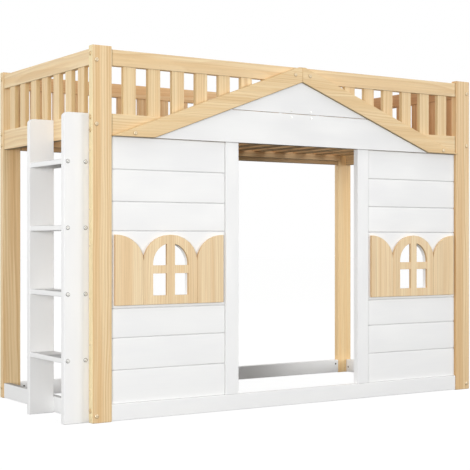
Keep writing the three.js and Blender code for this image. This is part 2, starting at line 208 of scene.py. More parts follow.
# Growth rings: their width, how far they wander as noise leaves its middle, the late wood's rise and fall
# as shares of a ring, and how strong the faintest ring is
RING_WIDTHS = (0.0085, 0.0125)
FLAT_RING_WIDTHS = (0.0050, 0.0080)
RING_WANDER = (0, 0.030, 0.030)
NOISE_MIDDLE = (0.5, 0.5, 0.5)
RISE_SHARES = (0.10, 0.80)
FALL_SHARES = (0.86, 1.0)
FAINTEST_RING_SHARE = 0.25

# How long each feature of the wood is along the grain and both ways across it
WANDER_REACH = (0.70, 0.09, 0.09)
HEART_REACH = (1.2, 0.035, 0.035)
STREAK_REACH = (0.60, 0.0065, 0.0065)
FIBRE_REACH = (0.16, 0.0022, 0.0022)
PORE_REACH = (0.020, 0.0011, 0.0011)

# The noise at which each feature starts to show and shows fully, and how strongly it shows
HEART_STEP = (0.35, 0.70)
STREAK_STEP = (0.50, 0.80)
FIBRE_STEP = (0.25, 0.75)
PORE_STEP = (0.70, 0.82)
RING_SHARE = 0.80
FLAT_RING_SHARE = 0.62
STREAK_SHARE = 0.45
SIDE_SHADING_SHARE = 0.55
FIBRE_SHADE_SHARES = (0.95, 1.04)
PORE_SHADE_SHARE = 0.10
# How much painted shade darkens faces that look down
UNDERSIDE_SHADE_SHARE = 0.46
# How much a painted highlight lightens the edges
EDGE_HIGHLIGHT_SHARE = 0.05

# Lacquer and paint: how strongly they mirror, and how much rougher their worn edges are
SPECULAR_SHARE = 0.4
EDGE_ROUGHNESS = 0.08

# Lacquer: its roughness, what fibres and rings add to it, and the relief that shows through it
LACQUER_ROUGHNESS = 0.38
FIBRE_ROUGHNESS = 0.16
RING_ROUGHNESS = -0.06
RING_RELIEF_SHARE = 0.5
PORE_RELIEF_SHARE = -0.6
PINE_RELIEF = 0.0004
PINE_RELIEF_SHARE = 0.35

# White paint: its clouds, the grain that just shows through it, its gloss and its orange peel
CLOUD_REACH = (0.30, 0.09, 0.09)
PAINTED_GRAIN_REACH = (0.14, 0.0030, 0.0030)
PEEL_REACH = (0.0028, 0.0028, 0.0028)
PAINTED_GRAIN_SHARE = 0.4
PAINT_STEP = (0.45, 0.95)
PAINT_EDGE_SHARE = 0.03
GLOSS_STEP = (0.4, 1.0)
PAINT_ROUGHNESS = (0.36, 0.52)
PEEL_SHARE = 0.4
PAINT_RELIEF = 0.0002
PAINT_RELIEF_SHARE = 0.25

# Metal: its blotches and scratches, and how metallic the bright zinc and the lacquered zinc look
BLOTCH_REACH = (0.006, 0.006, 0.006)
SCRATCH_REACH = (0.0060, 0.0004, 0.0004)
BLOTCH_STEP = (0.35, 0.7)
DULL_STEP = (0.3, 0.7)
METAL_ROUGHNESS = (0.24, 0.42)
SCRATCH_RELIEF = 0.00008
SCRATCH_RELIEF_SHARE = 0.4
BRIGHT_METALLIC_SHARE = 0.35
LACQUERED_METALLIC_SHARE = 0.2

# Webbing: its threads and their fuzz
THREAD_PITCH = 0.0016
FUZZ_REACH = (0.0008, 0.0008, 0.0008)
FUZZ_SHARE = 0.8
WEAVE_STEP = (-0.6, 1.2)
FUZZ_STEP = (0.2, 0.8)
WEB_ROUGHNESS = (0.78, 0.95)
WEAVE_RELIEF = 0.0003
WEAVE_RELIEF_SHARE = 0.6

SHIFT_LAYER = "board_shift"


def linear(red, green, blue):
    """A colour written as 0 to 255 on screen, as Blender's shaders take it."""
    def channel(value):
        share = value / 255
        return share / 12.92 if share <= 0.04045 else ((share + 0.055) / 1.055) ** 2.4
    return (channel(red), channel(green), channel(blue), 1)


# Each kind of pine: its earlywood, its latewood, its warmer heartwood and the painted light or shade of
# its narrow faces
POST_PINE = (linear(244, 218, 174), linear(213, 172, 118), linear(232, 196, 145), linear(246, 222, 182))
SHADED_POST_PINE = (linear(232, 206, 162), linear(202, 162, 110), linear(221, 185, 135), linear(242, 217, 177))
LIT_POST_PINE = (linear(255, 225, 173), linear(233, 191, 131), linear(250, 212, 155), linear(245, 211, 162))
RAIL_PINE = (linear(244, 220, 178), linear(218, 181, 129), linear(235, 203, 154), linear(244, 220, 178))
DECK_PINE = (linear(235, 210, 166), linear(209, 172, 120), linear(226, 194, 145), linear(233, 204, 157))
ROOF_PINE = (linear(243, 216, 169), linear(215, 176, 120), linear(232, 199, 147), linear(236, 206, 158))
SLAT_PINE = (linear(241, 216, 171), linear(214, 178, 127), linear(231, 199, 150), linear(190, 161, 112))
PALE_PINE = (linear(245, 222, 182), linear(220, 186, 138), linear(236, 205, 160), linear(190, 150, 105))
WARM_SHADED_PINE = (linear(241, 209, 163), linear(216, 169, 116), linear(232, 189, 137), linear(227, 190, 144))
DEEP_SHADED_PINE = (linear(216, 170, 120), linear(186, 132, 83), linear(202, 150, 99), linear(212, 163, 112))
# Painted light and shade: the boards inside the bed at its rear and its right end get darker, warmer
# palettes as painted shade, and so do the rear left post and the slat roll; the rear right post gets a
# lighter palette as painted light. The front left post's narrow faces get painted light, the front right
# post's painted shade.
BOARD_COLOURS = {
    "post_front_left": (*POST_PINE[:3], linear(255, 244, 197)),
    "post_front_right": (*POST_PINE[:3], linear(214, 172, 120)),
    "post_rear_left": SHADED_POST_PINE,
    "post_rear_right": LIT_POST_PINE,
    "top_rail_rear": WARM_SHADED_PINE,
    "deck_rail_rear": WARM_SHADED_PINE,
    "deck_ledger_rear": WARM_SHADED_PINE,
    "guard_slats_rear": WARM_SHADED_PINE,
    "deck_rail_front": DECK_PINE,
    "roof_board_left": ROOF_PINE,
    "roof_board_right": ROOF_PINE,
    "top_rail_right": DEEP_SHADED_PINE,
    "guard_slats_right": DEEP_SHADED_PINE,
}

# White paint where it is thick and where it is thin. The gable's boards are a little duller.
WALL_PAINT = (linear(248, 248, 247), linear(245, 245, 245))
GABLE_PAINT = (linear(243, 243, 242), linear(240, 240, 240))

# Metal where it is clean and where it is blotched
DARK_METAL = (linear(120, 119, 116), linear(92, 91, 89))
BRIGHT_METAL = (linear(246, 245, 242), linear(228, 228, 224))
BUFF_METAL = (linear(242, 223, 190), linear(228, 204, 165))
# A darker copy of the buff finish, as painted shade for heads on the end faces and for nuts on the rails'
# inner faces
SHADED_BUFF_METAL = (linear(226, 199, 152), linear(206, 178, 130))
# The collars' finishes, darker than the domes as painted shade round each head
SHADED_GREY_COLLAR = (linear(172, 171, 168), linear(150, 149, 146))
SHADED_TAN_COLLAR = (linear(216, 186, 142), linear(196, 164, 118))

WEB_LIGHT = linear(226, 221, 208)
WEB_DARK = linear(188, 181, 164)
FLOOR = linear(88, 88, 87)
WHITE = (1, 1, 1, 1)


class Nodes:
    """A tree of nodes, with short ways to add and link them."""

    def __init__(self, tree):
        self.tree = tree

    def feed(self, socket, value):
        if isinstance(value, bpy.types.NodeSocket):
            self.tree.links.new(value, socket)
        else:
            socket.default_value = value

    def add(self, kind, inputs, **settings):
        node = self.tree.nodes.new(kind)
        for key, value in settings.items():
            setattr(node, key, value)
        for key, value in inputs.items():
            self.feed(node.inputs[key], value)
        return node

    def math(self, operation, first, second=0.0, third=0.0):
        inputs = {0: first, 1: second, 2: third}
        return self.add("ShaderNodeMath", inputs, operation=operation).outputs[0]

    def vector(self, operation, first, second):
        node = self.add("ShaderNodeVectorMath", {0: first, 1: second}, operation=operation)
        return node.outputs["Value" if operation in ("LENGTH", "DOT_PRODUCT") else "Vector"]

    def axes(self, vector):
        """The three parts of a vector, by the names X, Y and Z."""
        return self.add("ShaderNodeSeparateXYZ", {"Vector": vector}).outputs

    def noise(self, place, reach, detail=2.0, output="Fac"):
        """Noise whose features are as long along each axis as reach says."""
        scaled = self.vector("DIVIDE", place, reach)
        inputs = {"Vector": scaled, "Scale": 1.0, "Detail": detail}
        return self.add("ShaderNodeTexNoise", inputs).outputs[output]

    def chance(self, number):
        """A random value and colour for each whole number."""
        return self.add("ShaderNodeTexWhiteNoise", {"W": number}, noise_dimensions="1D").outputs

    def ramp(self, value, low, high, out_low=0.0, out_high=1.0):
        """A smooth step from out_low to out_high as the value goes from low to high."""
        inputs = {
            "Value": value,
            "From Min": low,
            "From Max": high,
            "To Min": out_low,
            "To Max": out_high,
        }
        node = self.add("ShaderNodeMapRange", inputs, interpolation_type="SMOOTHSTEP")
        return node.outputs["Result"]

    def mix(self, factor, first, second):
        """A colour between two others."""
        node = self.add("ShaderNodeMix", {}, data_type="RGBA")
        sockets = {socket.identifier: socket for socket in node.inputs}
        for name, value in (("Factor_Float", factor), ("A_Color", first), ("B_Color", second)):
            self.feed(sockets[name], value)
        return next(socket for socket in node.outputs if socket.identifier == "Result_Color")

    def change(self, share, amount):
        """One where the share is nothing, and more or less than that by the amount where it is one."""
        return self.math("MULTIPLY_ADD", share, amount, 1.0)

    def scale(self, colour, factor):
        """A colour made lighter or darker by a factor."""
        node = self.add("ShaderNodeVectorMath", {0: colour, "Scale": factor}, operation="SCALE")
        return node.outputs["Vector"]

    def bump(self, height, distance, strength):
        inputs = {"Height": height, "Distance": distance, "Strength": strength}
        return self.add("ShaderNodeBump", inputs).outputs["Normal"]


class Shader(Nodes):
    """One material. Its shares say where on a piece something shows: one there, and nothing elsewhere."""

    def __init__(self, name):
        self.material = bpy.data.materials.new(name)
        self.material.use_nodes = True
        super().__init__(self.material.node_tree)
        self.surface = self.tree.nodes["Principled BSDF"]

    def dress(self, colour, roughness, normal):
        """Gives the surface its looks, and hands over the material."""
        for name, value in (("Base Color", colour), ("Roughness", roughness), ("Normal", normal)):
            self.feed(self.surface.inputs[name], value)
        return self.material

    def place(self):
        """Where each point lies in the frame."""
        return self.add("ShaderNodeTexCoord", {}).outputs["Object"]

    def facing(self, direction):
        """How far each face looks in a direction: one straight that way, and minus one away from it."""
        flat = self.add("ShaderNodeNewGeometry", {}).outputs["Normal"]
        return self.vector("DOT_PRODUCT", flat, direction)

    def along_grain(self, cut, offset, tilt=(0, 0, 0)):
        """Coordinates whose X runs along the grain and whose Z runs across the wide face."""
        shift = self.add("ShaderNodeAttribute", {}, attribute_name=SHIFT_LAYER)
        lean = Euler(tilt).to_matrix() @ cut.turn()
        inputs = {
            "Vector": self.vector("ADD", self.place(), shift.outputs["Vector"]),
            "Location": Vector(offset) - lean @ cut.centre,
            "Rotation": lean.to_euler(),
        }
        return self.add("ShaderNodeMapping", inputs, vector_type="POINT").outputs["Vector"]

    def edge_share(self):
        """The very edges of the piece."""
        rounded = self.add("ShaderNodeBevel", {"Radius": EDGE_REACH}, samples=EDGE_SAMPLES)
        return self.ramp(self.facing(rounded.outputs["Normal"]), *EDGE_TURN_SHARES)

    def joint_share(self, low, high):
        """The faces inside the joints along a white board's upper and lower edges, set back from its
        front, where painted shade falls.
        """
        parts = self.axes(self.place())
        from_front = self.ramp(parts["Y"], low.y + JOINT_START, low.y + JOINT_END)
        from_back = self.ramp(parts["Y"], high.y - JOINT_START, high.y - JOINT_END)
        inside = self.math("MULTIPLY", from_front, from_back)
        near_low = self.ramp(parts["Z"], low.z + JOINT_REACH, low.z + JOINT_END)
        near_high = self.ramp(parts["Z"], high.z - JOINT_REACH, high.z - JOINT_END)
        return self.math("MULTIPLY", inside, self.math("MAXIMUM", near_low, near_high))

    def end_share(self, cut):
        """The two ends of a board."""
        from_middle = self.vector("SUBTRACT", self.place(), cut.centre)
        run = self.math("ABSOLUTE", self.vector("DOT_PRODUCT", from_middle, cut.along))
        return self.ramp(run, cut.half - END_REACH, cut.half - END_START)

    def side_share(self, cut):
        """The board's narrow faces."""
        return self.math("ABSOLUTE", self.facing(cut.wide))

    def underside_share(self):
        """Faces that look straight down."""
        return self.math("MAXIMUM", self.facing(-UP), 0.0)

    def top_shade(self, low, high, front_share, rear_share):
        """The front or the rear half's shade on faces that look straight up, and nothing on others."""
        upward = self.math("MAXIMUM", self.facing(UP), 0.0)
        middle = (low.y + high.y) / 2
        start, end = middle - TOP_STEP_REACH, middle + TOP_STEP_REACH
        shade = self.ramp(self.axes(self.place())["Y"], start, end, front_share, rear_share)
        return self.math("MULTIPLY", upward, shade)


class Cut:
    """How a board is cut from the log: its middle, and the ways of its grain and of its wide face."""

    def __init__(self, low, high, along=None):
        size = high - low
        sides = sorted(range(3), key=lambda side: size[side])
        self.centre = (low + high) / 2
        self.along = along or self.axis(sides[2])
        self.wide = self.axis(sides[1])
        self.half = size[sides[2]] / 2

    @staticmethod
    def axis(side):
        direction = Vector((0, 0, 0))
        direction[side] = 1
        return direction

    def turn(self):
        """Turns the frame so that the grain lies along X and the wide face along Z."""
        wide = (self.wide - self.along * self.wide.dot(self.along)).normalized()
        return Matrix((self.along, wide.cross(self.along), wide))


def place_in_log(shader, cut, rng, flat_sawn):
    """Coordinates round the pith, which lies behind a board that is sawn flat, and beside any other."""
    pith_distance = rng.uniform(*(FLAT_PITH_DISTANCES if flat_sawn else PITH_DISTANCES))
    pith_turn = rng.choice((-1, 1)) * math.pi / 2 + rng.uniform(-PITH_SWING, PITH_SWING)
    if flat_sawn:
        pith_turn += math.pi / 2
    offset = (
        rng.uniform(-LOG_HALF, LOG_HALF),
        pith_distance * math.cos(pith_turn),
        pith_distance * math.sin(pith_turn),
    )
    tilt = (0, rng.uniform(-GRAIN_LEAN, GRAIN_LEAN), rng.uniform(-GRAIN_LEAN, GRAIN_LEAN))
    return shader.along_grain(cut, offset, tilt)


def glued_strips(shader, place, tone, width):
    """Cuts a panel into strips, each with its own place in the wood and its own tone."""
    number = shader.math("FLOOR", shader.math("DIVIDE", shader.axes(place)["Z"], width))
    chance = shader.chance(number)
    jump = shader.vector("MULTIPLY", chance["Color"], STRIP_JUMP)
    lowest = tone - STRIP_TONE_SHARE / 2
    return (
        shader.vector("ADD", place, jump),
        shader.math("MULTIPLY_ADD", chance["Value"], STRIP_TONE_SHARE, lowest),
    )


def late_wood(shader, place, ring_width):
    """The dark part of each year's ring: a slow rise, a quick fall, and a strength of the year's own."""
    wander = shader.noise(place, WANDER_REACH, output="Color")
    wander = shader.vector("SUBTRACT", wander, NOISE_MIDDLE)
    wander = shader.vector("MULTIPLY", wander, RING_WANDER)
    across = shader.vector("MULTIPLY", shader.vector("ADD", place, wander), (0, 1, 1))
    rings = shader.math("DIVIDE", shader.vector("LENGTH", across, (0, 0, 0)), ring_width)
    season = shader.math("FRACT", rings)
    rise = shader.ramp(season, *RISE_SHARES)
    fall = shader.ramp(season, *FALL_SHARES, 1.0, 0.0)
    year = shader.chance(shader.math("FLOOR", rings))["Value"]
    strength = shader.math("MULTIPLY_ADD", year, 1 - FAINTEST_RING_SHARE, FAINTEST_RING_SHARE)
    return shader.math("MULTIPLY", shader.math("MULTIPLY", rise, fall), strength)


def pine(name, cut, seed, colours, strip_width=None, flat_sawn=False, shaded_ends=False):
    """Lacquered pine, with growth rings, streaks, fibres and pores, painted light or shade on its narrow
    faces, a painted highlight on its edges, and on some boards painted shade on their undersides and ends.
    """
    early, late, heart, side = colours
    rng = random.Random(f"{SEED} {seed}")
    shader = Shader(name)
    place = place_in_log(shader, cut, rng, flat_sawn)
    tone = rng.uniform(1 - TONE_SHARE, 1 + TONE_SHARE)
    if strip_width:
        place, tone = glued_strips(shader, place, tone, strip_width)
    ring_width = rng.uniform(*(FLAT_RING_WIDTHS if flat_sawn else RING_WIDTHS))
    ring_share = FLAT_RING_SHARE if flat_sawn else RING_SHARE

    band = late_wood(shader, place, ring_width)
    heartwood = shader.ramp(shader.noise(place, HEART_REACH, detail=1.0), *HEART_STEP)
    streak = shader.ramp(shader.noise(place, STREAK_REACH, detail=2.0), *STREAK_STEP, 0.0, STREAK_SHARE)
    fibre = shader.noise(place, FIBRE_REACH, detail=3.0)
    pores = shader.ramp(shader.noise(place, PORE_REACH, detail=0.0), *PORE_STEP)
    edge = shader.edge_share()

    wood = shader.mix(heartwood, early, heart)
    wood = shader.mix(shader.math("MULTIPLY", band, ring_share), wood, late)
    wood = shader.mix(streak, wood, late)
    # The narrow faces take the palette's fourth colour, as painted light or shade
    wood = shader.mix(shader.math("MULTIPLY", shader.side_share(cut), SIDE_SHADING_SHARE), wood, side)

    shades = [
        shader.ramp(fibre, *FIBRE_STEP, *FIBRE_SHADE_SHARES),
        shader.change(pores, -PORE_SHADE_SHARE),
        # A painted highlight on the pine's edges
        shader.change(edge, EDGE_HIGHLIGHT_SHARE),
    ]
    # Painted shade on the flat-sawn boards' faces that look down
    if flat_sawn:
        shades.append(shader.change(shader.underside_share(), -UNDERSIDE_SHADE_SHARE))
    # Painted shade on the rails' ends beside the posts
    if shaded_ends:
        shades.append(shader.change(shader.end_share(cut), -END_SHADE_SHARE))
    for shade in shades:
        tone = shader.math("MULTIPLY", shade, tone)

    roughness = shader.math("MULTIPLY_ADD", fibre, FIBRE_ROUGHNESS, LACQUER_ROUGHNESS)
    roughness = shader.math("MULTIPLY_ADD", band, RING_ROUGHNESS, roughness)
    roughness = shader.math("MULTIPLY_ADD", edge, EDGE_ROUGHNESS, roughness)
    relief = shader.math("MULTIPLY_ADD", band, RING_RELIEF_SHARE, fibre)
    relief = shader.math("MULTIPLY_ADD", pores, PORE_RELIEF_SHARE, relief)
    shader.surface.inputs["Specular IOR Level"].default_value = SPECULAR_SHARE
    bump = shader.bump(relief, PINE_RELIEF, PINE_RELIEF_SHARE)
    return shader.dress(shader.scale(wood, tone), roughness, bump)


def white_paint(name, cut, seed, colours, box, joint_shade_share, shade_shares):
    """Satin paint on wood: a little orange peel, the grain just showing, a little darker and rougher at
    the edges, and painted shade in its joints and on tops that lie in the shade.
    """
    rng = random.Random(f"{SEED} {seed}")
    shader = Shader(name)
    offset = [rng.uniform(-LOG_HALF, LOG_HALF) for _ in range(3)]
    place = shader.along_grain(cut, offset)
    clouds = shader.noise(place, CLOUD_REACH)
    grain = shader.noise(place, PAINTED_GRAIN_REACH, detail=3.0)
    peel = shader.noise(place, PEEL_REACH, detail=1.0)
    tone = shader.math("MULTIPLY_ADD", grain, PAINTED_GRAIN_SHARE, clouds)
    edge = shader.edge_share()

    colour = shader.mix(shader.ramp(tone, *PAINT_STEP), *colours)
    colour = shader.scale(colour, shader.change(edge, -PAINT_EDGE_SHARE))
    # Painted shade in the joints between the boards
    if joint_shade_share:
        colour = shader.scale(colour, shader.change(shader.joint_share(*box), -joint_shade_share))
    if shade_shares:
        colour = shader.scale(colour, shader.change(shader.top_shade(*box, *shade_shares), -1.0))

    gloss = shader.ramp(tone, *GLOSS_STEP, *PAINT_ROUGHNESS)
    roughness = shader.math("MULTIPLY_ADD", edge, EDGE_ROUGHNESS, gloss)
    relief = shader.math("MULTIPLY_ADD", peel, PEEL_SHARE, grain)
    shader.surface.inputs["Specular IOR Level"].default_value = SPECULAR_SHARE
    return shader.dress(colour, roughness, shader.bump(relief, PAINT_RELIEF, PAINT_RELIEF_SHARE))


def metal(name, colours, metallic=1.0):
    """Plated or lacquered steel with a faint blotch and fine scratches."""
    shader = Shader(name)
    place = shader.place()
    blotch = shader.noise(place, BLOTCH_REACH, detail=3.0)
    scratch = shader.noise(place, SCRATCH_REACH, detail=2.0)
    shader.surface.inputs["Metallic"].default_value = metallic
    colour = shader.mix(shader.ramp(blotch, *BLOTCH_STEP), *colours)
    roughness = shader.ramp(blotch, *DULL_STEP, *METAL_ROUGHNESS)
    return shader.dress(colour, roughness, shader.bump(scratch, SCRATCH_RELIEF, SCRATCH_RELIEF_SHARE))


def webbing():
    """A woven strap. Its threads cross at the thread pitch."""
    shader = Shader("webbing")
    place = shader.place()
    turns = shader.axes(shader.vector("MULTIPLY", place, (2 * math.pi / THREAD_PITCH,) * 3))
    weave = shader.math("MULTIPLY", shader.math("SINE", turns["Y"]), shader.math("SINE", turns["X"]))
    fuzz = shader.noise(place, FUZZ_REACH, detail=2.0)
    worn = shader.math("MULTIPLY_ADD", fuzz, FUZZ_SHARE, weave)
    colour = shader.mix(shader.ramp(worn, *WEAVE_STEP), WEB_DARK, WEB_LIGHT)
    roughness = shader.ramp(fuzz, *FUZZ_STEP, *WEB_ROUGHNESS)
    return shader.dress(colour, roughness, shader.bump(worn, WEAVE_RELIEF, WEAVE_RELIEF_SHARE))


def soften(piece, width):
    """Eases the square edges of a piece and shades its eases as round ones."""
    for polygon in piece.data.polygons:
        polygon.use_smooth = True
    weld = piece.modifiers.new("weld", "WELD")
    weld.merge_threshold = WELD_DISTANCE
    flats = piece.modifiers.new("flats", "DECIMATE")
    flats.decimate_type = "DISSOLVE"
    flats.angle_limit = FLAT_ANGLE
    ease = piece.modifiers.new("ease", "BEVEL")
    ease.width = width
    ease.segments = EASE_SEGMENTS
    ease.limit_method = "ANGLE"
    ease.angle_limit = SQUARE_EDGE_ANGLE
    normals = piece.modifiers.new("normals", "WEIGHTED_NORMAL")
    normals.keep_sharp = False


def long_edge(piece):
    """The direction of the longest edge between two of the piece's faces, along which its grain runs."""
    mesh = bmesh.new()
    mesh.from_mesh(piece.data)
    bmesh.ops.remove_doubles(mesh, verts=mesh.verts, dist=WELD_DISTANCE)
    edges = [edge for edge in mesh.edges if edge.calc_face_angle(0) > EDGE_ANGLE]
    longest = max(edges, key=lambda edge: round(edge.calc_length(), LENGTH_DIGITS))
    direction = (longest.verts[1].co - longest.verts[0].co).normalized()
    mesh.free()
    return direction


def pine_colours(node):
    """The pine colours that each node gets, some of them with painted light or shade."""
    if node.startswith(PANEL_PARTS):
        return PALE_PINE
    return BOARD_COLOURS.get(node) or (POST_PINE if node.startswith("post") else RAIL_PINE)


def grain_of(node, piece):
    """The direction of a node's grain: up in the window parts, level or else along the longest edge."""
    if node.startswith(PANEL_PARTS):
        return Cut.axis(2)
    return Cut.axis(0) if node.startswith(LEVEL_GRAIN) else long_edge(piece)


def share_of(node, shares):
    """What a table holds for the kind of board that a node is, or nothing where it isn't listed."""
    return next((share for start, share in shares.items() if node.startswith(start)), None)


def dress_nodes():
    """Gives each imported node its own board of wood, plain or painted."""
    slots = {part["node"]: part["material_slot"] for part in frame["record"]["subparts"]}
    for name, piece in frame["nodes"].items():
        from_panel = name.startswith(PANEL_PARTS)
        cut = Cut(*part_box(name), grain_of(name, piece))
        label = f"{slots[name]}_{name}"
        if slots[name] == "pine":
            strip_width = PANEL_STRIP if from_panel else None
            flat_sawn, shaded_ends = name.startswith(FLAT_SAWN), name.startswith(POST_RAILS)
            material = pine(label, cut, name, pine_colours(name), strip_width, flat_sawn, shaded_ends)
        else:
            joint_shade_share, shade_shares = share_of(name, JOINT_SHADE_SHARES), share_of(name, TOP_SHADE_SHARES)
            paint = GABLE_PAINT if name.startswith("gable_board") else WALL_PAINT
            material = white_paint(label, cut, name, paint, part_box(name), joint_shade_share, shade_shares)
        piece.data.materials.clear()
        piece.data.materials.append(material)
        soften(piece, PANEL_EDGE_EASE if from_panel else SQUARE_EDGE_EASE)


def settle(name, mesh, material):
    """Makes a piece of a mesh that is already in the frame, and rides it on the bed."""
    data = bpy.data.meshes.new(name)
    mesh.to_mesh(data)
    mesh.free()
    for polygon in data.polygons:
        polygon.use_smooth = True
    data.materials.append(material)
    piece = bpy.data.objects.new(name, data)
    bpy.context.scene.collection.objects.link(piece)
    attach(piece, "root")
    normals = piece.modifiers.new("normals", "WEIGHTED_NORMAL")
    normals.keep_sharp = True
    return piece


def skin(mesh, rings):
    """Closes a row of rings into a solid. Gives the band of faces between each ring and the next."""
    bands = []
    for before, after in zip(rings, rings[1:]):
        band = []
        for index in range(len(before)):
            onward = (index + 1) % len(before)
            band.append(mesh.faces.new((before[index], before[onward], after[onward], after[index])))
        bands.append(band)
    mesh.faces.new(reversed(rings[0]))
    mesh.faces.new(rings[-1])
    return bands


class Boards:
    """Gathers several eased boards in one piece. Each has its own place in the wood."""

    def __init__(self, name):
        self.name = name
        self.random = random.Random(f"{SEED} {name}")
        self.mesh = bmesh.new()
        self.shift = self.mesh.verts.layers.float_vector.new(SHIFT_LAYER)

    def add(self, low, high, ease):
        place = Matrix.Translation((high + low) / 2) @ Matrix.Diagonal((*(high - low), 1))
        cube = bmesh.ops.create_cube(self.mesh, size=1, matrix=place)
        edges = list({edge for corner in cube["verts"] for edge in corner.link_edges})
        eased = bmesh.ops.bevel(
            self.mesh,
            geom=edges,
            offset=ease,
            segments=EASE_SEGMENTS,
            profile=ROUND_PROFILE_SHARE,
            affect="EDGES",
        )
        shift = Vector([self.random.uniform(-1, 1) for _ in range(3)])
        for vertex in eased["verts"]:
            vertex[self.shift] = shift

    def finish(self, material, slot):
        return settle(self.name, self.mesh, material)


def add_guard_slats(side):
    """One row of guard slats, and the filler strips between them in the grooves of the two rails."""
    node = f"guard_slats_{side}"
    low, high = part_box(node)
    run = 0 if side in ("front", "rear") else 1
    count = GUARD_SLAT_COUNTS[side]
    gap = (high[run] - low[run] - count * GUARD_SLAT_WIDTH) / (count + 1)
    slats = Boards(f"{node}_boards")
    fillers = Boards(f"{node}_fillers")

    def span(boards, start, end, bottom, top, ease):
        board_low, board_high = low.copy(), high.copy()
        board_low[run], board_high[run] = start, end
        board_low.z, board_high.z = bottom, top
        boards.add(board_low, board_high, ease)

    for index in range(count + 1):
        gap_start = low[run] + index * (gap + GUARD_SLAT_WIDTH)
        slat_start = gap_start + gap
        for bottom in (low.z, high.z - GROOVE_DEPTH):
            ends = gap_start + FILLER_GAP, slat_start - FILLER_GAP
            span(fillers, *ends, bottom, bottom + GROOVE_DEPTH, FILLER_EASE)
        if index < count:
            span(slats, slat_start, slat_start + GUARD_SLAT_WIDTH, low.z, high.z, GUARD_SLAT_EASE)

    first_high = high.copy()
    first_high[run] = low[run] + GUARD_SLAT_WIDTH
    colours = BOARD_COLOURS.get(node, SLAT_PINE)
    slat_wood = pine(f"pine_{node}", Cut(low, first_high), node, colours)
    filler_cut = Cut(low, high, Cut.axis(run))
    filler_wood = pine(f"pine_{node}_fillers", filler_cut, f"{node} fillers", RAIL_PINE)
    row = slats.finish(slat_wood, "pine")
    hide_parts(node)
    fillers.finish(filler_wood, "pine")


def add_slat_roll():
    """Fifteen deck slats, and the two straps that hold them in step."""
    low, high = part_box("slat_roll")
    top = low.z + DECK_SLAT_THICKNESS
    pitch = (high.x - low.x - DECK_SLAT_WIDTH) / (DECK_SLATS - 1)
    starts = [low.x + index * pitch for index in range(DECK_SLATS)]
    slats = Boards("slat_roll_boards")
    for start in starts:
        slat_low = Vector((start, low.y, low.z))
        slats.add(slat_low, Vector((start + DECK_SLAT_WIDTH, high.y, top)), DECK_SLAT_EASE)
    first = Cut(low, Vector((low.x + DECK_SLAT_WIDTH, high.y, top)))
    wood = pine("pine_slat_roll", first, "slat_roll", WARM_SHADED_PINE)
    roll = slats.finish(wood, "pine")
    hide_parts("slat_roll")
    middles = [start + DECK_SLAT_WIDTH / 2 for start in starts]
    strap_rows = [low.y + STRAP_INSET, high.y - STRAP_INSET]
    for number, row in enumerate(strap_rows, start=1):
        add_strap(f"slat_strap_{number}", middles, row, top)
    add_staples(middles, strap_rows, top + STRAP_THICKNESS)


def strap_line(middles):
    """Where a strap runs: each point's place along the bed, and how far it hangs below the slats' tops."""
    flat_half = DECK_SLAT_WIDTH / 2 - DECK_SLAT_EASE
    line = []
    for index, middle in enumerate(middles):
        line += [(middle - flat_half, 0.0), (middle + flat_half, 0.0)]
        if index + 1 < len(middles):
            start, end = middle + flat_half, middles[index + 1] - flat_half
            for step in range(1, SAG_STEPS):
                share = step / SAG_STEPS
                line.append((start + (end - start) * share, STRAP_SAG * math.sin(math.pi * share)))
    return line


def add_strap(name, middles, row, top):
    """A flat strap over the slats, which sags a little between them."""
    half = STRAP_WIDTH / 2
    shoulder = half - STRAP_THICKNESS * STRAP_ROUND_SHARE
    section = [
        (-shoulder, 0.0),
        (shoulder, 0.0),
        (half, STRAP_THICKNESS / 2),
        (shoulder, STRAP_THICKNESS),
        (-shoulder, STRAP_THICKNESS),
        (-half, STRAP_THICKNESS / 2),
    ]
    strap = bmesh.new()
    rings = []
    for x, sag in strap_line(middles):
        rings.append([strap.verts.new((x, row + y, top - sag + z)) for y, z in section])
    skin(strap, rings)
    bmesh.ops.recalc_face_normals(strap, faces=strap.faces)
    settle(name, strap, finishes["webbing"])


def add_staples(middles, rows, height):
    """Two flat wire staples across the strap on each slat."""
    staples = Boards("slat_staples")
    half = Vector((STAPLE_WIRE, STAPLE_LENGTH, STAPLE_WIRE)) / 2
    for middle in middles:
        for row in rows:
            for offset in (-STAPLE_SPREAD / 2, STAPLE_SPREAD / 2):
                place = Vector((middle + offset, row, height))
                staples.add(place - half, place + half, STAPLE_EASE)
    staples.finish(finishes["zinc"], "zinc")


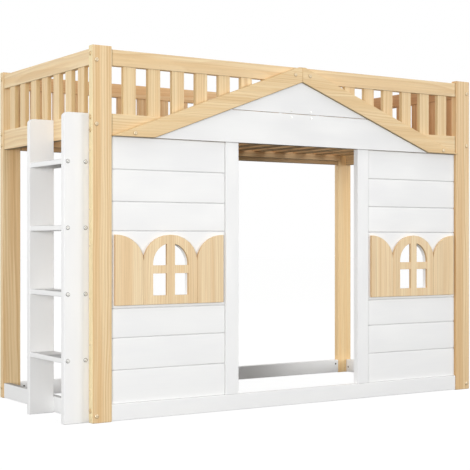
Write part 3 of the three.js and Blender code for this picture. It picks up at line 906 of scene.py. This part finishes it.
class Heads:
    """Gathers the heads of like fasteners in one piece. Some have a collar whose darker finish is painted
    shade.
    """

    def __init__(self, name, diameter, rise, socket, collar=None):
        self.name = name
        self.radius = diameter / 2
        self.rise = rise
        self.socket = socket
        self.collar = collar
        self.mesh = bmesh.new()

    def socket_wall(self, angle):
        """How far the socket's wall lies from its middle, at an angle round it."""
        side = 2 * math.pi / SOCKET_SIDES
        return self.socket / 2 / math.cos((angle % side) - side / 2)

    def collar_outline(self):
        """Radius and height from the collar's foot to the foot of the dome."""
        rim = self.radius + COLLAR_WIDTH
        return [
            (rim, -HEAD_SINK),
            (rim, COLLAR_RISE * COLLAR_WALL_SHARE),
            (rim - COLLAR_RISE * COLLAR_SLOPE_SHARE, COLLAR_RISE),
            (self.radius, COLLAR_RISE),
        ]

    def outline(self):
        """Radius and height from the rim to the socket's floor. The socket's wall has no one radius."""
        outline = self.collar_outline() if self.collar else [(self.radius, -HEAD_SINK)]
        foot = COLLAR_RISE if self.collar else 0
        shoulder = foot + (self.rise - foot) * SHOULDER_SHARE
        crown = self.socket * CROWN_SHARE
        outline.append((self.radius, shoulder))
        for step in range(1, DOME_POINTS + 1):
            angle = math.pi / 2 * step / DOME_POINTS
            reach = self.radius - (self.radius - crown) * (1 - math.cos(angle))
            outline.append((reach, shoulder + (self.rise - shoulder) * math.sin(angle)))
        return outline + [(None, self.rise), (None, self.rise * SOCKET_FLOOR_SHARE)]

    def add(self, place, outward):
        """One head on a face, with its middle at place. Outward is the face's own direction."""
        turn = Vector(outward).to_track_quat("Z", "Y").to_matrix().to_4x4()
        matrix = Matrix.Translation(place) @ turn
        angles = [2 * math.pi * index / RING_POINTS for index in range(RING_POINTS)]
        rings = []
        for radius, height in self.outline():
            ring = []
            for angle in angles:
                reach = self.socket_wall(angle) if radius is None else radius
                point = Vector((reach * math.cos(angle), reach * math.sin(angle), height))
                ring.append(self.mesh.verts.new(matrix @ point))
            rings.append(ring)
        bands = skin(self.mesh, rings)
        # The collar's faces take the second, darker finish as painted shade
        for band in bands[:COLLAR_BANDS if self.collar else 0]:
            for face in band:
                face.material_index = 1

    def finish(self, finish):
        for edge in self.mesh.edges:
            if edge.calc_face_angle(0) > SQUARE_EDGE_ANGLE:
                edge.smooth = False
        piece = settle(self.name, self.mesh, finishes[finish])
        if self.collar:
            piece.data.materials.append(finishes[self.collar])


def bolts(name, collar, diameter=BOLT_DIAMETER):
    return Heads(name, diameter, BOLT_RISE, BOLT_SOCKET, collar)


def screws(name):
    return Heads(name, SCREW_DIAMETER, SCREW_RISE, SCREW_SOCKET)


def nuts(name):
    return Heads(name, NUT_DIAMETER, NUT_RISE, NUT_SOCKET)


def middle_of(node):
    low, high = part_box(node)
    return (low + high) / 2


def bolt_rail(rail, rise, along, inward, heads, rail_nuts):
    """A bolt's head on the post at each end of a rail, and its nut on the rail's inner face."""
    low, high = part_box(rail)
    bed_low, bed_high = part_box("post_front_left")[0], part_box("post_rear_right")[1]
    across = 1 - along
    for end, post_face, rail_end in ((-1, bed_low, low), (1, bed_high, high)):
        place = middle_of(rail)
        place.z = low.z + rise
        place[along] = post_face[along]
        heads.add(place, Cut.axis(along) * end)
        place[along] = rail_end[along] - end * NUT_FROM_POST
        place[across] = high[across] if inward > 0 else low[across]
        rail_nuts.add(place, Cut.axis(across) * inward)


def add_rail_bolts():
    """Bolts through the posts into the ends of all rails, and the barrel nuts that they pull on."""
    pine_nuts, foot_nuts = nuts("pine_rail_nuts"), nuts("foot_rail_nuts")
    for rows, rises_by_rail, along, name, finish in (
        (("front", "rear"), LONG_BOLT_RISES, 0, "end_bolts", "shaded_buff"),
        (("left", "right"), END_BOLT_RISES, 1, "face_bolts", "buff"),
    ):
        heads = bolts(name, "shaded_tan_collar")
        for row, inward in zip(rows, (1, -1)):
            for rail, rises in rises_by_rail.items():
                rail_nuts = foot_nuts if rail == "foot_rail" else pine_nuts
                for rise in rises:
                    bolt_rail(f"{rail}_{row}", rise, along, inward, heads, rail_nuts)
        heads.finish(finish)
    foot_nuts.finish("dark_zinc")
    pine_nuts.finish("shaded_buff")


def add_wall_screws():
    """Screws through the front posts into the battens of the walls."""
    heads = screws("wall_screws")
    for side, outward in (("left", -1), ("right", 1)):
        post_low, post_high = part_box(f"post_front_{side}")
        wall_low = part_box(f"wall_plank_{side}_1")[0]
        wall_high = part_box(f"wall_plank_{side}_6")[1]
        face = post_low.x if outward < 0 else post_high.x
        middle = (wall_low.y + wall_high.y) / 2
        for share in WALL_SCREW_SHARES:
            height = wall_low.z + (wall_high.z - wall_low.z) * share
            heads.add((face, middle, height), (outward, 0, 0))
    heads.finish("buff")


def add_roof_bolts():
    """Bolts that hold the roof boards on the deck rail and the top rail."""
    heads = bolts("roof_bolts", "shaded_tan_collar")
    tip_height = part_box("deck_rail_front")[0].z + ROOF_TIP_RISE
    joint_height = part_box("top_rail_front")[0].z + ROOF_JOINT_RISE
    for side, outward in (("left", -1), ("right", 1)):
        low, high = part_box(f"roof_board_{side}")
        tip, joint = (low.x, high.x) if outward < 0 else (high.x, low.x)
        heads.add((tip - outward * ROOF_TIP_INSET, low.y, tip_height), (0, -1, 0))
        heads.add((joint + outward * ROOF_JOINT_INSET, low.y, joint_height), (0, -1, 0))
    heads.finish("buff")


def add_gable_screws():
    """Screws above and below the joint of the gable boards, into the cleat behind it."""
    heads = screws("gable_screws")
    low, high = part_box("gable_board_lower")
    middle = (low.x + high.x) / 2
    for spread in (-GABLE_SCREW_SPREAD, GABLE_SCREW_SPREAD):
        for rise in (-GABLE_SCREW_FROM_JOINT, GABLE_SCREW_FROM_JOINT):
            heads.add((middle + spread, low.y, high.z + rise), (0, -1, 0))
    heads.finish("zinc")


def add_ladder_bolts():
    """Two bolts through each stile into the end of each tread."""
    heads = bolts("ladder_bolts", "shaded_grey_collar", LADDER_BOLT_DIAMETER)
    treads = [name for name in frame["nodes"] if name.startswith("ladder_tread")]
    for stile, outward in (("front", -1), ("rear", 1)):
        low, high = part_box(f"ladder_stile_{stile}")
        face = low.y if outward < 0 else high.y
        for tread in sorted(treads):
            middle = middle_of(tread)
            for spread in (-LADDER_BOLT_SPREAD, LADDER_BOLT_SPREAD):
                heads.add((middle.x + spread, face, middle.z), (0, outward, 0))
    heads.finish("zinc")


def make_world():
    """Soft light from all sides, and a white background for the camera and for what mirrors it."""
    world = bpy.data.worlds.new("studio")
    world.use_nodes = True
    bpy.context.scene.world = world
    nodes = Nodes(world.node_tree)
    nodes.tree.nodes.clear()
    rays = nodes.add("ShaderNodeLightPath", {}).outputs
    seen = nodes.math("MAXIMUM", rays["Is Camera Ray"], rays["Is Glossy Ray"])
    seen = nodes.math("MAXIMUM", seen, rays["Is Transmission Ray"])
    light = nodes.add("ShaderNodeBackground", {"Color": WHITE, "Strength": WORLD_LEVEL})
    backdrop = nodes.add("ShaderNodeBackground", {"Color": WHITE, "Strength": BACKDROP_LEVEL})
    both = nodes.add("ShaderNodeMixShader", {0: seen, 1: light.outputs[0], 2: backdrop.outputs[0]})
    nodes.add("ShaderNodeOutputWorld", {"Surface": both.outputs[0]})


def floor_material():
    """Pale, and as white as the background to the camera, so that only the shadow shows on it."""
    material = bpy.data.materials.new("floor")
    material.use_nodes = True
    nodes = Nodes(material.node_tree)
    nodes.tree.nodes.clear()
    seen = nodes.add("ShaderNodeLightPath", {}).outputs["Is Camera Ray"]
    level = nodes.math("MULTIPLY", seen, FLOOR_GLOW)
    pale = nodes.add("ShaderNodeBsdfDiffuse", {"Color": FLOOR})
    glow = nodes.add("ShaderNodeEmission", {"Color": WHITE, "Strength": level})
    both = nodes.add("ShaderNodeAddShader", {0: pale.outputs[0], 1: glow.outputs[0]})
    nodes.add("ShaderNodeOutputMaterial", {"Surface": both.outputs[0]})
    return material


def make_floor():
    """A pale floor that meets the white background and keeps the bed's soft shadow."""
    data = bpy.data.meshes.new("floor")
    corners = [(-1, -1), (1, -1), (1, 1), (-1, 1)]
    data.from_pydata([(x * FLOOR_HALF, y * FLOOR_HALF, 0) for x, y in corners], [], [(0, 1, 2, 3)])
    data.materials.append(floor_material())
    floor = bpy.data.objects.new("floor", data)
    bpy.context.scene.collection.objects.link(floor)


def make_lamps():
    for name, lamp in LAMPS.items():
        light = bpy.data.lights.new(name, "AREA")
        light.size = lamp.width
        light.energy = lamp.power
        turn, rise = math.radians(lamp.turn), math.radians(lamp.rise)
        away = Vector((-math.sin(turn) * math.cos(rise), -math.cos(turn) * math.cos(rise), math.sin(rise)))
        panel = bpy.data.objects.new(name, light)
        panel.location = LAMP_AIM + away * lamp.distance
        panel.rotation_euler = away.to_track_quat("Z", "Y").to_euler()
        panel.visible_camera = False
        bpy.context.scene.collection.objects.link(panel)


def make_camera():
    data = bpy.data.cameras.new("camera")
    data.sensor_width = CAMERA_SENSOR * MILLIMETRES
    data.lens = CAMERA_LENS * MILLIMETRES
    data.shift_y = CAMERA_SHIFT_SHARE
    camera = bpy.data.objects.new("camera", data)
    camera.location = CAMERA_PLACE
    camera.rotation_euler = (math.pi / 2, 0, CAMERA_HEADING)
    bpy.context.scene.collection.objects.link(camera)
    bpy.context.scene.camera = camera


make_camera()
make_world()
make_floor()
make_lamps()

# The finishes of the fasteners and of the straps, which several pieces share
finishes = {
    "zinc": metal("zinc", BRIGHT_METAL, BRIGHT_METALLIC_SHARE),
    "dark_zinc": metal("dark_zinc", DARK_METAL),
    "buff": metal("buff_lacquered_zinc", BUFF_METAL, LACQUERED_METALLIC_SHARE),
    # Painted shade: the darker buff for heads on the end faces and nuts on the rails' inner faces
    "shaded_buff": metal("shaded_buff_zinc", SHADED_BUFF_METAL, LACQUERED_METALLIC_SHARE),
    # Painted shade round the domes: the collars' grey and tan finishes
    "shaded_grey_collar": metal("shaded_grey_zinc", SHADED_GREY_COLLAR, BRIGHT_METALLIC_SHARE),
    "shaded_tan_collar": metal("shaded_tan_zinc", SHADED_TAN_COLLAR, LACQUERED_METALLIC_SHARE),
    "webbing": webbing(),
}
dress_nodes()
for side_name in GUARD_SLAT_COUNTS:
    add_guard_slats(side_name)
add_slat_roll()
add_rail_bolts()
add_wall_screws()
add_roof_bolts()
add_gable_screws()
add_ladder_bolts()

bpy.context.scene.view_settings.view_transform = "Standard"
